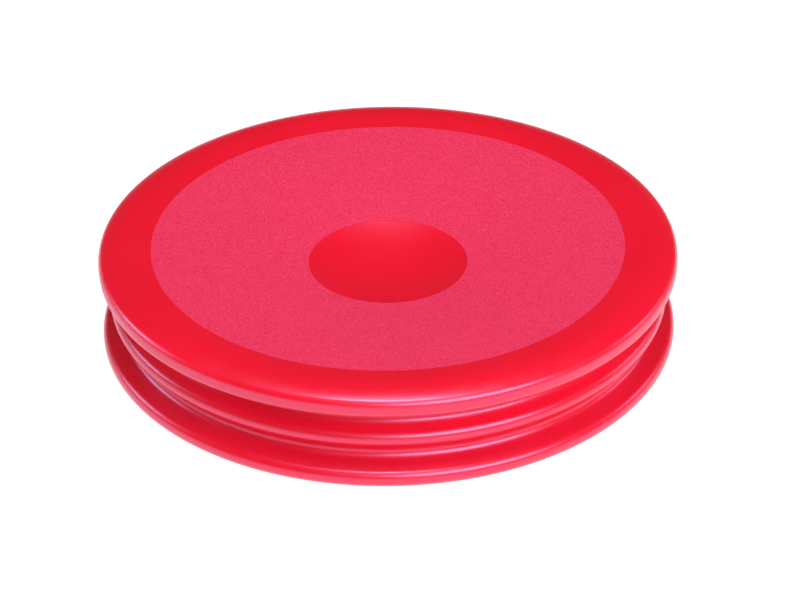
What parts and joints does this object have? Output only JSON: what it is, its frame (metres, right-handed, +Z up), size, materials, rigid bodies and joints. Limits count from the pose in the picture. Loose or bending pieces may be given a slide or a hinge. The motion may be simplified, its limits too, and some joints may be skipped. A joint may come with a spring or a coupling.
{
  "type": "bellows balance disc",
  "caption": "Air-filled round balance disc: two dished plates with rounded rims joined by a folded bellows wall, sprung to press and tilt, with a plug valve below.",
  "frame": {"origin": "centre of the disc on the plane that it stands on", "axes": "+Z up along the disc's axis, from the valve side to the grained upper side, +X to the right"},
  "size_m": [0.33, 0.33, 0.058],
  "materials": {
    "smooth_skin": "smooth glossy soft plastic",
    "grained_skin": "fine matt grain",
    "valve_rubber": "satin soft plastic",
    "plug_plastic": "satin"
  },
  "bodies": {
    "base": {"lower_plate": "smooth_skin", "lower_grip_ring": "grained_skin", "lower_dish": "smooth_skin", "valve_collar": "valve_rubber"},
    "plug": {"valve_plug": "plug_plastic"},
    "lower_root": {"lower_fold_root": "smooth_skin"},
    "lower_web": {"lower_fold_web": "smooth_skin"},
    "ridge": {"middle_ring": "smooth_skin"},
    "upper_web": {"upper_fold_web": "smooth_skin"},
    "upper_root": {"upper_fold_root": "smooth_skin"},
    "top": {"upper_plate": "smooth_skin", "upper_grip_ring": "grained_skin", "upper_dish": "smooth_skin"}
  },
  "joints": [
    {"name": "press", "type": "slide", "parent": "base", "child": "lower_root", "axis": [0, 0, 1], "range_m": [-0.004, 0], "stiffness_N_per_m": 60000, "deforming": ["lower_fold_root"]},
    {"name": "tilt_sideways", "type": "hinge", "parent": "lower_root", "child": "lower_web", "pos_m": [0, 0, 0.017], "axis": [0, 1, 0], "range_deg": [-1.25, 1.25], "stiffness_Nm_per_rad": 800, "deforming": ["lower_fold_web"]},
    {"name": "tilt_forwards", "type": "hinge", "parent": "lower_web", "child": "ridge", "pos_m": [0, 0, 0.017], "axis": [1, 0, 0], "range_deg": [-1.25, 1.25], "stiffness_Nm_per_rad": 800},
    {"name": "press_upper_fold", "type": "slide", "parent": "ridge", "child": "upper_web", "axis": [0, 0, 1], "range_m": [-0.004, 0], "stiffness_N_per_m": 60000, "deforming": ["upper_fold_web"]},
    {"name": "tilt_upper_fold_sideways", "type": "hinge", "parent": "upper_web", "child": "upper_root", "pos_m": [0, 0, 0.0378], "axis": [0, 1, 0], "range_deg": [-1.25, 1.25], "stiffness_Nm_per_rad": 800, "deforming": ["upper_fold_root"]},
    {"name": "tilt_upper_fold_forwards", "type": "hinge", "parent": "upper_root", "child": "top", "pos_m": [0, 0, 0.0378], "axis": [1, 0, 0], "range_deg": [-1.25, 1.25], "stiffness_Nm_per_rad": 800},
    {"name": "plug_pull", "type": "slide", "parent": "base", "child": "plug", "axis": [0, 0, -1], "range_m": [0, 0.012]}
  ],
  "couplings": [
    {"joint": "press_upper_fold", "follows": "press", "ratio": 1},
    {"joint": "tilt_upper_fold_sideways", "follows": "tilt_sideways", "ratio": 1},
    {"joint": "tilt_upper_fold_forwards", "follows": "tilt_forwards", "ratio": 1}
  ]
}
